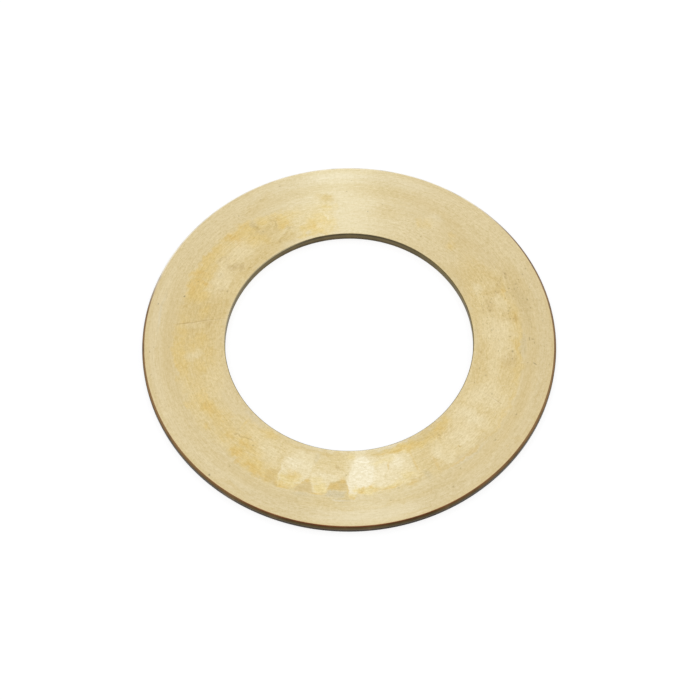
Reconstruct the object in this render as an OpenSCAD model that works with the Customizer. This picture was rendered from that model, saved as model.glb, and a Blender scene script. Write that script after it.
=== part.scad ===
// Flat bronze thrust washer, turned as one piece.
// The origin is the centre of the bore in the plane of the lower face, and +Z runs up the bore.

/* [Disc] */
// Diameter across the rim
outer_d = 100; // [80:0.5:160]
// Diameter of the bore
bore_d = 60; // [30:0.5:75]
// Thickness between the upper and lower faces
thickness = 2.5; // [1.8:0.1:12]

/* [Edge breaks] */
// Width of the 45 degree break on the upper and lower rim edges
rim_break = 0.6; // [0.05:0.05:0.8]
// Width of the 45 degree break on the upper and lower bore edges
bore_break = 0.2; // [0.05:0.05:0.8]

/* [Smoothness] */
// Facets drawn in a full turn
facets = 180; // [60:12:360]

/* [Hidden] */
outer_r = outer_d / 2;
bore_r = bore_d / 2;

// Cut through one side of the ring: a flat bar with its four corners broken
module ring_section() {
    polygon([
        [bore_r + bore_break, 0],
        [outer_r - rim_break, 0],
        [outer_r, rim_break],
        [outer_r, thickness - rim_break],
        [outer_r - rim_break, thickness],
        [bore_r + bore_break, thickness],
        [bore_r, thickness - bore_break],
        [bore_r, bore_break]
    ]);
}

// The whole washer, as it leaves the lathe
module washer() {
    color("#dcc894") rotate_extrude($fn = facets) ring_section();
}

washer();
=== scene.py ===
"""Looks of a flat bronze thrust washer: its turned ring, its finishes and the studio it lies in."""
import logging
import math
from dataclasses import dataclass
from enum import Enum
from typing import Any, Iterable, Mapping, Union

import bpy
from mathutils import Matrix, Vector, noise


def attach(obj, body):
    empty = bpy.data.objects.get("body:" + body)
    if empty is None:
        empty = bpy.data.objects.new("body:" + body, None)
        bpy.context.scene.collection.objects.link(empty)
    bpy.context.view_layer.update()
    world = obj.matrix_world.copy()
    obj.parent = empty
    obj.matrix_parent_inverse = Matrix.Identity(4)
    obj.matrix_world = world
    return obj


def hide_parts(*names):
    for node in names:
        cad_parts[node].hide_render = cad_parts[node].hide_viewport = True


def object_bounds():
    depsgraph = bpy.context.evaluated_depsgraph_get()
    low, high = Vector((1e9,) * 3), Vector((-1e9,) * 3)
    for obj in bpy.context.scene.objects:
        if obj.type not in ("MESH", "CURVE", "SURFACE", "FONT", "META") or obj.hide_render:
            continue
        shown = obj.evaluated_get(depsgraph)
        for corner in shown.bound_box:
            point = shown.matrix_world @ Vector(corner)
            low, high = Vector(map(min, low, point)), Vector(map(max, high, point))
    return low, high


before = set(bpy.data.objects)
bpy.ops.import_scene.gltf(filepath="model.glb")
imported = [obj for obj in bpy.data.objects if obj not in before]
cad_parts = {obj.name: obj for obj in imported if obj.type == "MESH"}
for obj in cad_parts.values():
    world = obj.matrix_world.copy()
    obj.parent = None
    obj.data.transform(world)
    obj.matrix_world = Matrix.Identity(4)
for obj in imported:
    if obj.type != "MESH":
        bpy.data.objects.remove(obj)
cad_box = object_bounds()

log = logging.getLogger("washer")

MM = 0.001

# Sizes of the ring in millimetres. The frame gives the rim and the thickness, to a tenth

RIM_RADIUS = round(cad_box[1].x / MM, 1)
THICKNESS = round(cad_box[1].z / MM, 1)
BORE_RADIUS = 30.0
RIM_BREAK = 0.6
BORE_BREAK = 0.2
# Radius at which the flat face ends and the break at the rim starts
FACE_RADIUS = RIM_RADIUS - RIM_BREAK


# Colours of the metal

def linear(channel: int) -> float:
    """Light value of one colour channel written from 0 to 255.

    Args:
        channel: the channel as it is seen on a screen.

    Returns:
        The same channel as an amount of light from 0 to 1.
    """
    share = channel / 255
    if share <= 0.04045:
        return share / 12.92
    return ((share + 0.055) / 1.055) ** 2.4


class Tone(Enum):
    """Named colours of the washer, each as red, green and blue from 0 to 255."""

    CLEAN = (224, 205, 159)
    RING_DARK = (218, 197, 147)
    RING_PALE = (228, 211, 170)
    WORN = (229, 210, 163)
    VEIL = (231, 210, 157)
    TAN = (219, 196, 141)
    OLIVE = (217, 192, 132)
    YELLOW = (228, 200, 129)
    AMBER = (221, 185, 104)
    BROWN = (208, 178, 112)
    SMUDGE = (182, 153, 98)
    PALE = (240, 224, 182)
    BRIGHT = (247, 234, 199)
    STRAW = (235, 213, 152)
    BLUISH = (213, 196, 154)
    COOL = (224, 212, 182)
    SPECK = (104, 78, 38)
    INK = (70, 66, 58)
    # Rim and bore tones: painted shade that darkens the break and the wall in bands, standing for the dark
    # surroundings that they reflect, down to a painted shadow at the foot. The side tones are painted sheen
    # and shade, and the glints are painted highlights.
    RIM_CREST = (170, 110, 62)
    RIM_BAND = (121, 77, 47)
    RIM_LINE = (82, 55, 37)
    RIM_WALL = (92, 77, 50)
    RIM_FOOT_SHADE = (50, 39, 21)
    RIM_SIDE_SHEEN = (150, 119, 80)
    RIM_FLANK_SHADE = (66, 58, 50)
    RIM_GLINT = (240, 230, 206)
    BORE_CREST = (122, 112, 84)
    BORE_LINE = (84, 74, 52)
    BORE_BAND = (110, 96, 64)
    BORE_WALL = (90, 77, 49)
    BORE_FOOT_SHADE = (56, 49, 33)
    BORE_SIDE_SHEEN = (134, 117, 66)
    BORE_FLANK_SHADE = (112, 98, 55)
    BORE_GLINT = (186, 174, 140)

    @property
    def rgba(self) -> tuple[float, float, float, float]:
        """The tone as linear light with full cover."""
        red, green, blue = self.value
        return linear(red), linear(green), linear(blue), 1.0


# Node arithmetic

Feed = Union[float, "Signal"]
# Level about which noise swings
MIDDLE = 0.5


class Signal:
    """A value that runs through a node tree and can be used in sums."""

    def __init__(self, bench: "Bench", socket: bpy.types.NodeSocket) -> None:
        """Keeps the bench that adds nodes and the socket that the value leaves from."""
        self.bench = bench
        self.socket = socket

    def __add__(self, other: Feed) -> "Signal":
        """This value plus another."""
        return self.bench.maths("ADD", self, other)

    def __radd__(self, other: Feed) -> "Signal":
        """Another value plus this one."""
        return self.bench.maths("ADD", other, self)

    def __sub__(self, other: Feed) -> "Signal":
        """This value less another."""
        return self.bench.maths("SUBTRACT", self, other)

    def __rsub__(self, other: Feed) -> "Signal":
        """Another value less this one."""
        return self.bench.maths("SUBTRACT", other, self)

    def __mul__(self, other: Feed) -> "Signal":
        """This value times another."""
        return self.bench.maths("MULTIPLY", self, other)

    def __rmul__(self, other: Feed) -> "Signal":
        """Another value times this one."""
        return self.bench.maths("MULTIPLY", other, self)

    def __truediv__(self, other: Feed) -> "Signal":
        """This value divided by another."""
        return self.bench.maths("DIVIDE", self, other)

    def __mod__(self, other: Feed) -> "Signal":
        """What is left of this value after whole steps of another."""
        return self.bench.maths("FLOORED_MODULO", self, other)

    def __abs__(self) -> "Signal":
        """This value without its sign."""
        return self.bench.maths("ABSOLUTE", self, 0.0)

    def either(self, other: Feed) -> "Signal":
        """The larger of this value and another."""
        return self.bench.maths("MAXIMUM", self, other)

    def both(self, other: Feed) -> "Signal":
        """The smaller of this value and another."""
        return self.bench.maths("MINIMUM", self, other)

    def step(self, low: Feed, high: Feed, bottom: Feed = 0.0, top: Feed = 1.0) -> "Signal":
        """A smooth step of this value.

        Args:
            low: the value at which the step starts.
            high: the value at which it ends, which may be the lower of the two.
            bottom: what the step gives at low.
            top: what it gives at high.

        Returns:
            The stepped value.
        """
        return self.bench.node(
            "ShaderNodeMapRange",
            {"interpolation_type": "SMOOTHSTEP", "clamp": False},
            {"Value": self, "From Min": low, "From Max": high, "To Min": bottom, "To Max": top},
        )


class Bench:
    """Adds nodes to one node tree."""

    def __init__(self, tree: bpy.types.NodeTree) -> None:
        """Keeps the tree that the nodes go into."""
        self.tree = tree

    def node(
        self,
        kind: str,
        settings: Mapping[str, Any] | None = None,
        inputs: Mapping[Any, Any] | None = None,
        output: int | str = 0,
    ) -> Signal:
        """Adds one node.

        Args:
            kind: the node's type.
            settings: its options, set first.
            inputs: a number, colour or signal for each socket, by name or place.
            output: the socket that the result leaves from.

        Returns:
            The node's output.
        """
        made = self.tree.nodes.new(kind)
        for name, value in (settings or {}).items():
            setattr(made, name, value)
        for name, value in (inputs or {}).items():
            self.plug(made.inputs[name], value)
        return Signal(self, made.outputs[output])

    def plug(self, socket: bpy.types.NodeSocket, value: Any) -> None:
        """Gives a socket its value, by a link if the value is a signal."""
        if isinstance(value, Signal):
            self.tree.links.new(value.socket, socket)
        else:
            socket.default_value = value

    def end(self, kind: str, surface: Signal) -> None:
        """Adds the tree's output node."""
        self.plug(self.tree.nodes.new(kind).inputs["Surface"], surface)

    def maths(self, operation: str, first: Feed, second: Feed) -> Signal:
        """Adds a Math node with two values."""
        return self.node("ShaderNodeMath", {"operation": operation}, {0: first, 1: second})

    def vector(self, operation: str, *values: Any, output: int | str = 0) -> Signal:
        """Adds a Vector Math node."""
        return self.node("ShaderNodeVectorMath", {"operation": operation}, dict(enumerate(values)), output)

    def along(self, place: Signal, way: Iterable[float]) -> Signal:
        """How far a place lies along a way."""
        return self.vector("DOT_PRODUCT", place, tuple(way), output="Value")

    def length(self, place: Signal) -> Signal:
        """How far a place is from the origin."""
        return self.vector("LENGTH", place, output="Value")

    def join(self, **parts: Feed) -> Signal:
        """A vector made of its parts X, Y and Z."""
        return self.node("ShaderNodeCombineXYZ", inputs=parts)

    def mix(self, amount: Feed, under: Any, over: Any) -> Signal:
        """Lays one colour over another.

        Args:
            amount: how much of the upper colour shows.
            under: the lower colour.
            over: the upper colour.

        Returns:
            The mixed colour.
        """
        settings = {"data_type": "RGBA", "blend_type": "MIX"}
        return self.node("ShaderNodeMix", settings, {0: amount, 6: under, 7: over}, output=2)

    def cloud(self, place: Signal, scale: float, detail: float, rough: float, output: int = 0) -> Signal:
        """Soft noise.

        Args:
            place: where the noise is read.
            scale: how many features it has to a unit of place.
            detail: how many finer layers it has.
            rough: how strong the finer layers are.
            output: 0 for a level, 1 for a colour.

        Returns:
            The noise.
        """
        inputs = {"Vector": place, "Scale": scale, "Detail": detail, "Roughness": rough}
        return self.node("ShaderNodeTexNoise", {"noise_dimensions": "3D"}, inputs, output)


# Where things lie on the face

# Angle at which the count of turns starts, in a clean stretch that no stain crosses
SEAM_ANGLE = 92.0
# Radius in millimetres at which a degree of turn is laid out as its true length
LAID_RADIUS = 37.0
MM_PER_DEGREE = math.radians(LAID_RADIUS)
# Scale that turns a place in metres into its plan in millimetres
TO_FLAT_MM = (1 / MM, 1 / MM, 0.0)


@dataclass(frozen=True)
class FacePlan:
    """A place on the ring's face, in the ways that its finish is read from.

    flat is the place in millimetres, radius how far it is from the axis, around the way to it with
    the radius as its height, and strip the place with the ring laid out as a straight strip.
    """

    bench: Bench
    flat: Signal
    radius: Signal
    around: Signal
    strip: Signal

    @classmethod
    def drawn(cls, bench: Bench) -> "FacePlan":
        """Adds the nodes of the plan.

        Args:
            bench: the bench that adds the nodes.

        Returns:
            The plan.
        """
        flat = bench.vector("MULTIPLY", bench.node("ShaderNodeTexCoord", output="Object"), TO_FLAT_MM)
        radius = bench.length(flat)
        seam = math.radians(SEAM_ANGLE)
        east = bench.along(flat, (math.cos(seam), math.sin(seam), 0.0))
        north = bench.along(flat, (-math.sin(seam), math.cos(seam), 0.0))
        turn = (bench.maths("ARCTAN2", north, east) + math.tau) % math.tau
        strip = bench.join(X=turn * LAID_RADIUS, Y=radius)
        around = bench.vector("ADD", bench.vector("NORMALIZE", flat), bench.join(Z=radius))
        return cls(bench, flat, radius, around, strip)


def laid_out(angle: float, share: float) -> tuple[float, float]:
    """Place on the face, with the ring laid out as a straight strip.

    Args:
        angle: degrees round the ring from +X towards +Y.
        share: radius as a share of the flat face's radius.

    Returns:
        Millimetres along the strip and across it.
    """
    return ((angle - SEAM_ANGLE) % 360) * MM_PER_DEGREE, share * FACE_RADIUS


def oval(strip: Signal, middle: Iterable[float], half: tuple[float, float], turn: float) -> Signal:
    """How far a place is from the middle of an oval.

    Args:
        strip: the laid out place on the face.
        middle: the oval's middle on the strip, in millimetres.
        half: its half lengths in millimetres.
        turn: how far it is turned, in radians.

    Returns:
        0 in the middle and 1 on the outline.
    """
    bench = strip.bench
    x, y = middle
    if not turn:
        scale = (1 / half[0], 1 / half[1], 0.0)
        shift = (-x / half[0], -y / half[1], 0.0)
        return bench.length(bench.vector("MULTIPLY_ADD", strip, scale, shift))
    moved = bench.vector("SUBTRACT", strip, (x, y, 0.0))
    east, north = math.cos(turn), math.sin(turn)
    along = bench.along(moved, (east / half[0], north / half[0], 0.0))
    across = bench.along(moved, (-north / half[1], east / half[1], 0.0))
    return bench.length(bench.join(X=along, Y=across))


class Stain:
    """A shape laid over the face. strength is how much of its tone shows, and edge how soft it is."""

    strength: float
    edge: float

    def outline(self, strip: Signal) -> Signal:
        """A value that passes from the first to the second of ends at the shape's outline."""
        raise NotImplementedError

    @property
    def ends(self) -> tuple[float, float]:
        """The value of outline just outside the shape and just inside."""
        return 1 + self.edge, 1 - self.edge

    def over(self, strip: Signal, under: Feed = 0.0) -> Signal:
        """Lays the stain over fainter ones.

        Args:
            strip: the laid out place on the face.
            under: how strong the stains under it are.

        Returns:
            The stain's strength inside, and what is under it outside.
        """
        return self.outline(strip).step(*self.ends, under, self.strength)


@dataclass(frozen=True)
class Patch(Stain):
    """An oval stain.

    angle and share are its middle, half_angle and half_share its half lengths along and across the
    ring, and tilt its turn in degrees.
    """

    angle: float
    share: float
    half_angle: float
    half_share: float
    strength: float
    edge: float
    tilt: float = 0.0

    def outline(self, strip: Signal) -> Signal:
        """How far a place is from the middle, 1 being the outline."""
        half = (self.half_angle * MM_PER_DEGREE, self.half_share * FACE_RADIUS)
        return oval(strip, laid_out(self.angle, self.share), half, math.radians(self.tilt))


@dataclass(frozen=True)
class Splash(Stain):
    """A stain with straight sides that fade over edge millimetres.

    corners are its corners in turn, as pairs of angle and share. None of them is a hollow one.
    """

    corners: tuple[tuple[float, float], ...]
    strength: float
    edge: float

    @property
    def ends(self) -> tuple[float, float]:
        """The value of outline outside the shape and inside."""
        return 0.0, 1.0

    def outline(self, strip: Signal) -> Signal:
        """How far inside all its sides a place is.

        Args:
            strip: the laid out place on the face.

        Returns:
            0 outside and 1 inside.
        """
        points = [Vector(laid_out(*corner)) for corner in self.corners]
        middle = sum(points, Vector((0.0, 0.0))) / len(points)
        inside: Feed = 1.0
        for start, end in zip(points, points[1:] + points[:1]):
            side = (end - start).normalized()
            inward = Vector((-side.y, side.x))
            if inward.dot(middle - start) < 0:
                inward = -inward
            depth = strip.bench.along(strip, inward.to_3d())
            edge_at = inward.dot(start)
            inside = depth.step(edge_at - self.edge, edge_at + self.edge, 0.0, inside)
        return inside


@dataclass(frozen=True)
class Scratch(Stain):
    """A fine line between two places on the face, half_width millimetres wide each side."""

    start: tuple[float, float]
    end: tuple[float, float]
    half_width: float
    strength: float
    edge: float = 0.5

    def outline(self, strip: Signal) -> Signal:
        """How far a place is from the line's middle.

        Args:
            strip: the laid out place on the face.

        Returns:
            0 in the middle and 1 on the outline of the long thin oval that stands for the line.
        """
        first, last = Vector(laid_out(*self.start)), Vector(laid_out(*self.end))
        run = last - first
        half = (run.length / 2, self.half_width)
        return oval(strip, (first + last) / 2, half, math.atan2(run.y, run.x))


def laid_together(strip: Signal, stains: Iterable[Stain]) -> Feed:
    """Lays stains over each other, the strongest last.

    Args:
        strip: the laid out place on the face.
        stains: the stains.

    Returns:
        Their strength as one.
    """
    mask: Feed = 0.0
    for stain in sorted(stains, key=lambda stain: stain.strength):
        mask = stain.over(strip, mask)
    return mask


class Spread(Enum):
    """How far a stain's outline wanders from the shape that it is given, as a share."""

    LOOSE = 1.0
    CRISP = 0.45
    STILL = 0.08


@dataclass(frozen=True)
class Layer:
    """Stains of one tone, laid on together.

    mottle is how much they break up inside, and level how strongly they are all laid on.
    """

    tone: Tone
    spread: Spread
    mottle: float
    stains: tuple[Stain, ...]
    level: float = 1.0


# How many values a row of ovals has up to its strength
PLAIN_ROW = 5


def ovals(edge: float, *rows: tuple[float, ...]) -> tuple[Patch, ...]:
    """Makes several oval stains.

    Args:
        edge: how soft they are where their row doesn't say.
        rows: the values of each in the order of Patch's fields, at least up to its strength.

    Returns:
        The stains.
    """
    return tuple(Patch(*row, edge) if len(row) == PLAIN_ROW else Patch(*row) for row in rows)


# Stains of the upper face, layer by layer from the lowest up

# A row of ovals gives the angle, the share, half the length in degrees and in shares, the strength,
# then the edge and the tilt if need be
TARNISH = (
    Layer(Tone.WORN, Spread.LOOSE, 0.3, ovals(0.5,
        (44, 0.93, 19, 0.09, 0.7), (56, 0.7, 20, 0.09, 0.75), (140, 0.93, 22, 0.09, 0.75),
        (202, 0.655, 11, 0.045, 0.3), (213, 0.93, 18, 0.09, 0.5), (320, 0.92, 14, 0.06, 0.35)
    )),
    Layer(Tone.RING_DARK, Spread.LOOSE, 0.4, ovals(0.6,
        (21, 0.96, 3, 0.014, 0.55, 0.8), (79, 0.93, 6, 0.06, 0.35, 0.7),
        (99.6, 0.93, 2.5, 0.016, 0.35, 0.8), (107, 0.935, 6, 0.07, 0.35, 0.8), (240, 0.962, 4, 0.014, 0.6),
        (251, 0.935, 11, 0.075, 0.5), (272, 0.842, 150, 0.016, 0.4, 0.15),
        (272, 0.628, 150, 0.014, 0.35, 0.15), (298, 0.935, 9, 0.075, 0.6), (324, 0.965, 18, 0.03, 0.4, 0.5),
        (342, 0.965, 5, 0.012, 0.6), (358, 0.955, 20, 0.035, 0.4, 0.5)
    )),
    Layer(Tone.TAN, Spread.LOOSE, 0.5, ovals(0.9,
        (16, 0.87, 11, 0.055, 0.65, 0.8), (44, 0.78, 8, 0.05, 0.45), (54, 0.845, 6, 0.022, 0.55),
        (74.5, 0.76, 5, 0.035, 0.6), (75, 0.865, 11, 0.035, 0.5), (98, 0.83, 2.8, 0.024, 1),
        (117, 0.925, 2.5, 0.025, 0.6), (122, 0.89, 3.5, 0.025, 0.45), (234, 0.965, 4, 0.016, 0.6),
        (262.5, 0.888, 3.2, 0.03, 0.6, 0.8), (268, 0.848, 1.8, 0.022, 1, 0.7),
        (280, 0.908, 20, 0.008, 0.55), (321.8, 0.962, 0.9, 0.008, 0.6), (325.2, 0.975, 0.5, 0.03, 0.5),
        (330, 0.905, 22, 0.02, 0.4)
    )),
    Layer(Tone.VEIL, Spread.LOOSE, 0.45, ovals(0.2,
        (14, 0.73, 22, 0.11, 0.85, 0.3), (108, 0.72, 12, 0.09, 0.6, 0.4), (149, 0.73, 42, 0.125, 0.8),
        (190, 0.74, 15, 0.112, 0.8, 0.35), (211, 0.775, 19, 0.078, 0.8, 0.35),
        (238, 0.73, 17, 0.116, 0.8, 0.3), (285, 0.73, 44, 0.112, 0.8), (340, 0.73, 45, 0.118, 0.85)
    )),
    Layer(Tone.OLIVE, Spread.LOOSE, 0.7, ovals(0.8,
        (9, 0.795, 2.4, 0.03, 0.8), (9.5, 0.752, 2.2, 0.028, 0.8, 0.9), (14, 0.645, 8, 0.025, 0.35),
        (14.5, 0.735, 3.4, 0.03, 0.25, 0.9), (20.5, 0.76, 2, 0.045, 0.75), (22, 0.805, 3, 0.014, 0.65),
        (28.6, 0.785, 4.8, 0.028, 0.65), (30, 0.65, 10, 0.032, 0.4), (31, 0.72, 6, 0.045, 0.55, 0.9),
        (118, 0.66, 4, 0.028, 0.85), (119.4, 0.765, 0.8, 0.04, 0.6, 0.9),
        (122.6, 0.742, 4.6, 0.03, 0.85, 0.7), (124.4, 0.684, 3.2, 0.056, 0.65),
        (126, 0.795, 2.4, 0.034, 0.75), (133, 0.655, 7, 0.03, 0.6, 0.9), (141, 0.632, 4, 0.014, 0.8),
        (147, 0.655, 5, 0.02, 0.4, 0.9), (164, 0.7, 7.5, 0.048, 0.8, 0.7),
        (166, 0.795, 4.5, 0.062, 0.75, 0.7), (168, 0.634, 14, 0.014, 0.6),
        (175, 0.78, 6.5, 0.068, 0.7, 0.7), (176, 0.69, 6.5, 0.035, 0.6), (186, 0.69, 6, 0.035, 0.35),
        (188, 0.77, 8, 0.08, 0.35), (217, 0.775, 5, 0.06, 0.25, 0.7), (250, 0.632, 9, 0.012, 0.45),
        (261, 0.63, 4, 0.014, 0.9, 0.7), (263, 0.7, 5.5, 0.04, 0.4, 0.7),
        (265.9, 0.7, 1.6, 0.018, 0.6, 0.7), (267, 0.64, 5, 0.022, 0.5), (276.5, 0.628, 3, 0.012, 0.7, 0.7),
        (286, 0.633, 9, 0.014, 0.55, 0.7), (292.5, 0.83, 3, 0.016, 0.55, 0.7),
        (298.5, 0.745, 3.8, 0.1, 0.42, 0.6), (301.6, 0.8, 1.6, 0.05, 0.55, 0.7),
        (303, 0.634, 8, 0.02, 1, 0.6), (303.5, 0.84, 2.5, 0.012, 0.7, 0.7), (312, 0.69, 2.6, 0.022, 0.65),
        (320.3, 0.76, 0.9, 0.085, 0.4, 0.9), (342, 0.78, 2.4, 0.05, 0.35, 0.9),
        (344, 0.652, 9, 0.028, 0.4, 0.9), (348.5, 0.8, 3.4, 0.045, 0.55), (352, 0.638, 9, 0.022, 0.3, 0.9)
    ), 0.85),
    Layer(Tone.YELLOW, Spread.LOOSE, 0.6, ovals(0.9,
        (1, 0.836, 4, 0.01, 0.5, 0.8), (7.4, 0.822, 4.6, 0.022, 0.6, 0.8),
        (17.6, 0.812, 3.4, 0.014, 0.6, 0.8), (45.6, 0.738, 1.6, 0.022, 0.7, 0.9, -30),
        (48.4, 0.778, 1.6, 0.014, 0.45), (59, 0.768, 1.8, 0.024, 0.55), (62, 0.756, 0.9, 0.032, 0.6),
        (96.5, 0.65, 2.4, 0.024, 0.45), (97.5, 0.77, 2.4, 0.022, 0.6), (98, 0.83, 2.6, 0.022, 0.4),
        (99, 0.69, 4, 0.026, 0.75, 0.8), (101.5, 0.725, 3.2, 0.026, 0.55),
        (103, 0.632, 4.2, 0.014, 0.95, 0.7), (104, 0.645, 3.4, 0.03, 0.85, 0.7),
        (104.5, 0.688, 3, 0.028, 1, 0.7), (108.5, 0.66, 2.2, 0.018, 0.75),
        (109, 0.686, 2, 0.016, 0.95, 0.8), (110, 0.632, 3, 0.014, 0.65, 0.8), (111, 0.78, 2.6, 0.02, 0.45),
        (115.8, 0.77, 2.6, 0.046, 1, 0.65), (117.4, 0.812, 1.6, 0.014, 0.5),
        (121.8, 0.803, 2.2, 0.03, 0.85, 0.8), (126, 0.715, 2, 0.022, 0.75),
        (129.6, 0.745, 3.4, 0.04, 0.8, 0.7), (130.6, 0.818, 5.6, 0.04, 1, 0.55),
        (141, 0.805, 3, 0.02, 0.5, 0.8), (146.5, 0.842, 9, 0.026, 0.95, 0.6),
        (149.5, 0.795, 5, 0.026, 0.65, 0.7), (158.5, 0.808, 5.2, 0.048, 1, 0.55),
        (161, 0.765, 3, 0.026, 0.75, 0.7), (167, 0.728, 2.6, 0.018, 0.75),
        (176, 0.822, 5, 0.024, 0.65, 0.8), (178.5, 0.725, 2.4, 0.02, 0.75),
        (182.5, 0.75, 3, 0.04, 0.6, 0.8), (186, 0.69, 5, 0.022, 0.45, 0.8),
        (187.5, 0.826, 8, 0.026, 0.85, 0.7), (189.5, 0.853, 5, 0.01, 0.8, 0.8),
        (191.5, 0.745, 2.6, 0.03, 0.65, 0.8), (198, 0.775, 3.6, 0.045, 0.35, 0.8),
        (203.6, 0.782, 3, 0.03, 0.65, 0.8), (203.8, 0.857, 0.9, 0.008, 0.75, 0.8),
        (204.6, 0.832, 2.4, 0.026, 0.45, 0.8), (208.6, 0.768, 4.4, 0.032, 1, 0.6),
        (214.4, 0.826, 1.2, 0.012, 0.8, 0.8), (214.5, 0.755, 3.6, 0.04, 0.55, 0.7),
        (221.5, 0.775, 3.2, 0.038, 0.62, 0.7), (222.2, 0.682, 0.6, 0.026, 0.65),
        (228, 0.69, 7, 0.04, 0.35, 0.8), (228.4, 0.752, 3.4, 0.02, 1, 0.7),
        (228.6, 0.806, 3, 0.032, 1, 0.6), (229.4, 0.722, 3, 0.022, 0.85),
        (233.5, 0.637, 4, 0.016, 0.85, 0.8), (234.2, 0.765, 2.6, 0.03, 0.75),
        (235.6, 0.822, 4.6, 0.034, 1, 0.55), (242.6, 0.82, 2.6, 0.04, 0.75, 0.6),
        (292, 0.652, 7.5, 0.02, 1, 0.65), (301.5, 0.662, 4.6, 0.02, 0.9, 0.7), (308, 0.69, 1.6, 0.022, 0.3),
        (309.5, 0.655, 5, 0.028, 0.75, 0.65), (314.5, 0.636, 3.4, 0.016, 0.9, 0.7),
        (330, 0.851, 9, 0.009, 0.5), (337.8, 0.849, 2.2, 0.011, 0.65), (346, 0.835, 4, 0.016, 0.5),
        (356, 0.825, 4.6, 0.018, 0.65, 0.8)
    ), 0.75),
    Layer(Tone.AMBER, Spread.LOOSE, 0.7, ovals(0.9,
        (8, 0.826, 1.8, 0.012, 0.5), (18.8, 0.812, 1, 0.012, 0.4), (105.2, 0.68, 1.8, 0.014, 0.55),
        (115.6, 0.744, 2, 0.016, 0.65), (117.8, 0.79, 0.8, 0.02, 0.45), (129.4, 0.836, 2.2, 0.012, 0.4),
        (134.6, 0.812, 1.3, 0.036, 1), (145, 0.86, 3.4, 0.008, 0.35), (153, 0.832, 1.4, 0.022, 0.5),
        (155.9, 0.79, 0.6, 0.036, 0.65), (158.2, 0.826, 2.4, 0.024, 0.55), (208.2, 0.768, 2.2, 0.014, 0.65),
        (222.6, 0.778, 1.6, 0.014, 0.4), (228.4, 0.814, 1.8, 0.018, 0.6), (228.6, 0.752, 2, 0.012, 0.65),
        (235.2, 0.834, 2.4, 0.012, 0.65), (238.6, 0.842, 2.4, 0.012, 0.65), (294, 0.654, 4, 0.008, 0.7),
        (310.5, 0.652, 2.6, 0.016, 0.35), (356.2, 0.828, 2.4, 0.01, 0.4)
    ), 0.65),
    Layer(Tone.PALE, Spread.LOOSE, 0.6, ovals(0.8,
        (4, 0.725, 6.4, 0.066, 0.55, 0.7), (15.5, 0.775, 3.6, 0.03, 0.45), (23.6, 0.694, 2.8, 0.016, 0.7),
        (57.5, 0.8, 2.4, 0.045, 0.35, 0.9), (98.2, 0.706, 0.8, 0.012, 0.75, 0.9),
        (102.6, 0.672, 1.2, 0.01, 0.5, 0.9), (136.6, 0.735, 4.6, 0.06, 0.35), (146, 0.755, 4, 0.02, 0.35),
        (152, 0.716, 7, 0.044, 0.5, 0.7), (173.5, 0.77, 1.2, 0.05, 0.3, 0.9),
        (176, 0.63, 5, 0.01, 0.25, 0.9), (185.6, 0.738, 2.4, 0.014, 0.45), (186, 0.765, 1.6, 0.04, 0.55),
        (230.5, 0.685, 5, 0.024, 0.3, 0.7), (237.4, 0.72, 3.8, 0.05, 0.5, 0.65),
        (250.4, 0.684, 5.2, 0.038, 0.6, 0.6), (262, 0.73, 6, 0.02, 0.35), (276, 0.9, 4.5, 0.016, 0.4),
        (284, 0.74, 8, 0.06, 0.45, 0.55), (303.8, 0.75, 2.2, 0.03, 0.55),
        (305.6, 0.8, 2.6, 0.034, 0.5, 0.7), (309, 0.73, 4.4, 0.03, 0.2, 0.7),
        (314.8, 0.765, 4.6, 0.06, 0.62, 0.6), (320, 0.675, 3, 0.028, 0.5),
        (323, 0.725, 3.4, 0.076, 0.85, 0.6), (332, 0.695, 4, 0.04, 0.6),
        (333.6, 0.76, 3.8, 0.066, 0.6, 0.7), (337.6, 0.725, 2.4, 0.044, 0.55),
        (347, 0.715, 6, 0.026, 0.45, 0.9), (356, 0.745, 4, 0.044, 0.5, 0.9)
    ), 0.85),
    Layer(Tone.BROWN, Spread.CRISP, 0.5, (
        Splash(((246, 0.858), (241.5, 0.858), (240.5, 0.8), (244.6, 0.775)), 0.5, 0.5),
        Splash(((251.2, 0.854), (252.2, 0.828), (254.9, 0.784), (256.6, 0.8), (257.6, 0.854)), 0.5, 0.55),
        Splash(((262.3, 0.82), (263.1, 0.79), (266.9, 0.755), (268.3, 0.757), (269.1, 0.82)), 0.7, 0.45),
    ), 0.85),
    Layer(Tone.PALE, Spread.CRISP, 0.5, (
        Splash(((244.3, 0.7), (244.9, 0.795), (246.4, 0.856), (250.9, 0.842), (255, 0.783),
                (255.2, 0.69)), 0.75, 0.3),
        Scratch((244.4, 0.745), (246.3, 0.856), 0.26, 0.95),
        Splash(((255.6, 0.75), (256.2, 0.79), (257.7, 0.843), (261.6, 0.839), (263.1, 0.787),
                (263.6, 0.752)), 0.55, 0.35),
        Splash(((255.6, 0.735), (256, 0.782), (263.1, 0.785), (266.9, 0.754), (261.5, 0.732)), 0.6, 0.45),
        Splash(((279, 0.668), (293.8, 0.674), (292.8, 0.755), (286.5, 0.815), (278.5, 0.812)), 0.34, 0.5),
        *ovals(0.6,
            (278.6, 0.735, 3, 0.065, 0.85), (282.8, 0.715, 2, 0.036, 0.7), (283, 0.792, 4.4, 0.018, 0.65),
            (287.6, 0.713, 2.6, 0.042, 0.75, 0.5), (292.6, 0.735, 0.8, 0.036, 0.5)),
    ), 0.85),
    Layer(Tone.BRIGHT, Spread.CRISP, 0.35, (
        Splash(((272.2, 0.64), (270.4, 0.695), (268.8, 0.75), (269, 0.8), (273, 0.8), (277.6, 0.784),
                (278.6, 0.7), (276.8, 0.64)), 0.85, 0.55),
        Splash(((268.8, 0.78), (269.3, 0.838), (270.8, 0.856), (271.9, 0.836), (273.2, 0.78)), 0.75, 0.35),
        *ovals(0.7,
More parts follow.
